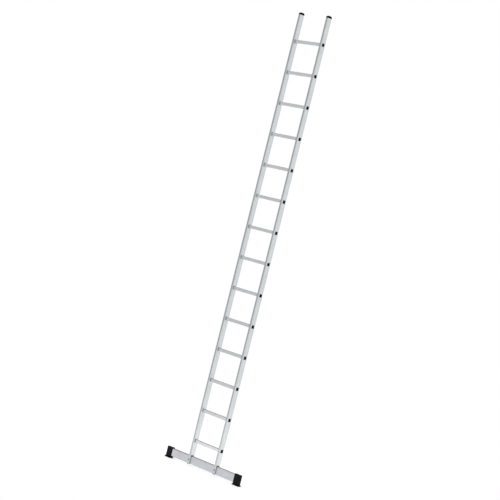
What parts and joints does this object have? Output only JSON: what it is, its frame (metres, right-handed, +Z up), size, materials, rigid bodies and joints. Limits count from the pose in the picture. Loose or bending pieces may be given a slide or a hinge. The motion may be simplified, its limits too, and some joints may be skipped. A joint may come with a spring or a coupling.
{
  "type": "leaning ladder",
  "caption": "Single-section leaning ladder: hollow aluminium stiles, square ribbed rungs, black end caps, and a stabiliser bar across the foot whose shoes have tilting rubber soles.",
  "frame": {"origin": "on the ground under the soles, midway between the stiles and midway through the ladder's depth", "axes": "+Z up along the stiles to the ladder's top, +X across the ladder to the right as seen from the climbing side, -Y out of the climbing side"},
  "size_m": [0.9436, 0.0718, 4.1285],
  "materials": {
    "stile_aluminium": "satin mill-finish extrusion",
    "rung_aluminium": "satin mill-finish extrusion with tread ribs",
    "bar_aluminium": "satin mill-finish extrusion",
    "rung_plug": "moulded",
    "top_cap": "moulded",
    "saddle": "moulded",
    "shoe": "moulded, fine grain",
    "sole": "moulded",
    "tread_rubber": "matt rubber",
    "zinc_steel": "zinc-plated",
    "hinge_pin": "ground",
    "rivet": "plain"
  },
  "bodies": {
    "ladder": {"stile_left": "stile_aluminium", "stile_right": "stile_aluminium", "rung_01": "rung_aluminium", "rung_02": "rung_aluminium", "rung_03": "rung_aluminium", "rung_04": "rung_aluminium", "rung_05": "rung_aluminium", "rung_06": "rung_aluminium", "rung_07": "rung_aluminium", "rung_08": "rung_aluminium", "rung_09": "rung_aluminium", "rung_10": "rung_aluminium", "rung_11": "rung_aluminium", "rung_12": "rung_aluminium", "rung_13": "rung_aluminium", "rung_14": "rung_aluminium", "rung_plugs_left": "rung_plug", "rung_plugs_right": "rung_plug", "top_cap_left": "top_cap", "top_cap_right": "top_cap", "saddle_left": "saddle", "saddle_right": "saddle", "stabiliser_bar": "bar_aluminium", "bar_bushes": "zinc_steel", "bar_bolts": "zinc_steel", "bar_washers": "zinc_steel", "bar_nuts": "zinc_steel", "shoe_left": "shoe", "shoe_right": "shoe", "shoe_rivets_left": "rivet", "shoe_rivets_right": "rivet"},
    "left_sole": {"sole_left": "sole", "tread_pad_left": "tread_rubber", "hinge_pin_left": "hinge_pin"},
    "right_sole": {"sole_right": "sole", "tread_pad_right": "tread_rubber", "hinge_pin_right": "hinge_pin"}
  },
  "joints": [
    {"name": "left_sole_tilt", "type": "hinge", "parent": "ladder", "child": "left_sole", "pos_m": [-0.4343, 0, 0.0105], "axis": [1, 0, 0], "range_deg": [-25, 25]},
    {"name": "right_sole_tilt", "type": "hinge", "parent": "ladder", "child": "right_sole", "pos_m": [0.4343, 0, 0.0105], "axis": [1, 0, 0], "range_deg": [-25, 25]}
  ]
}
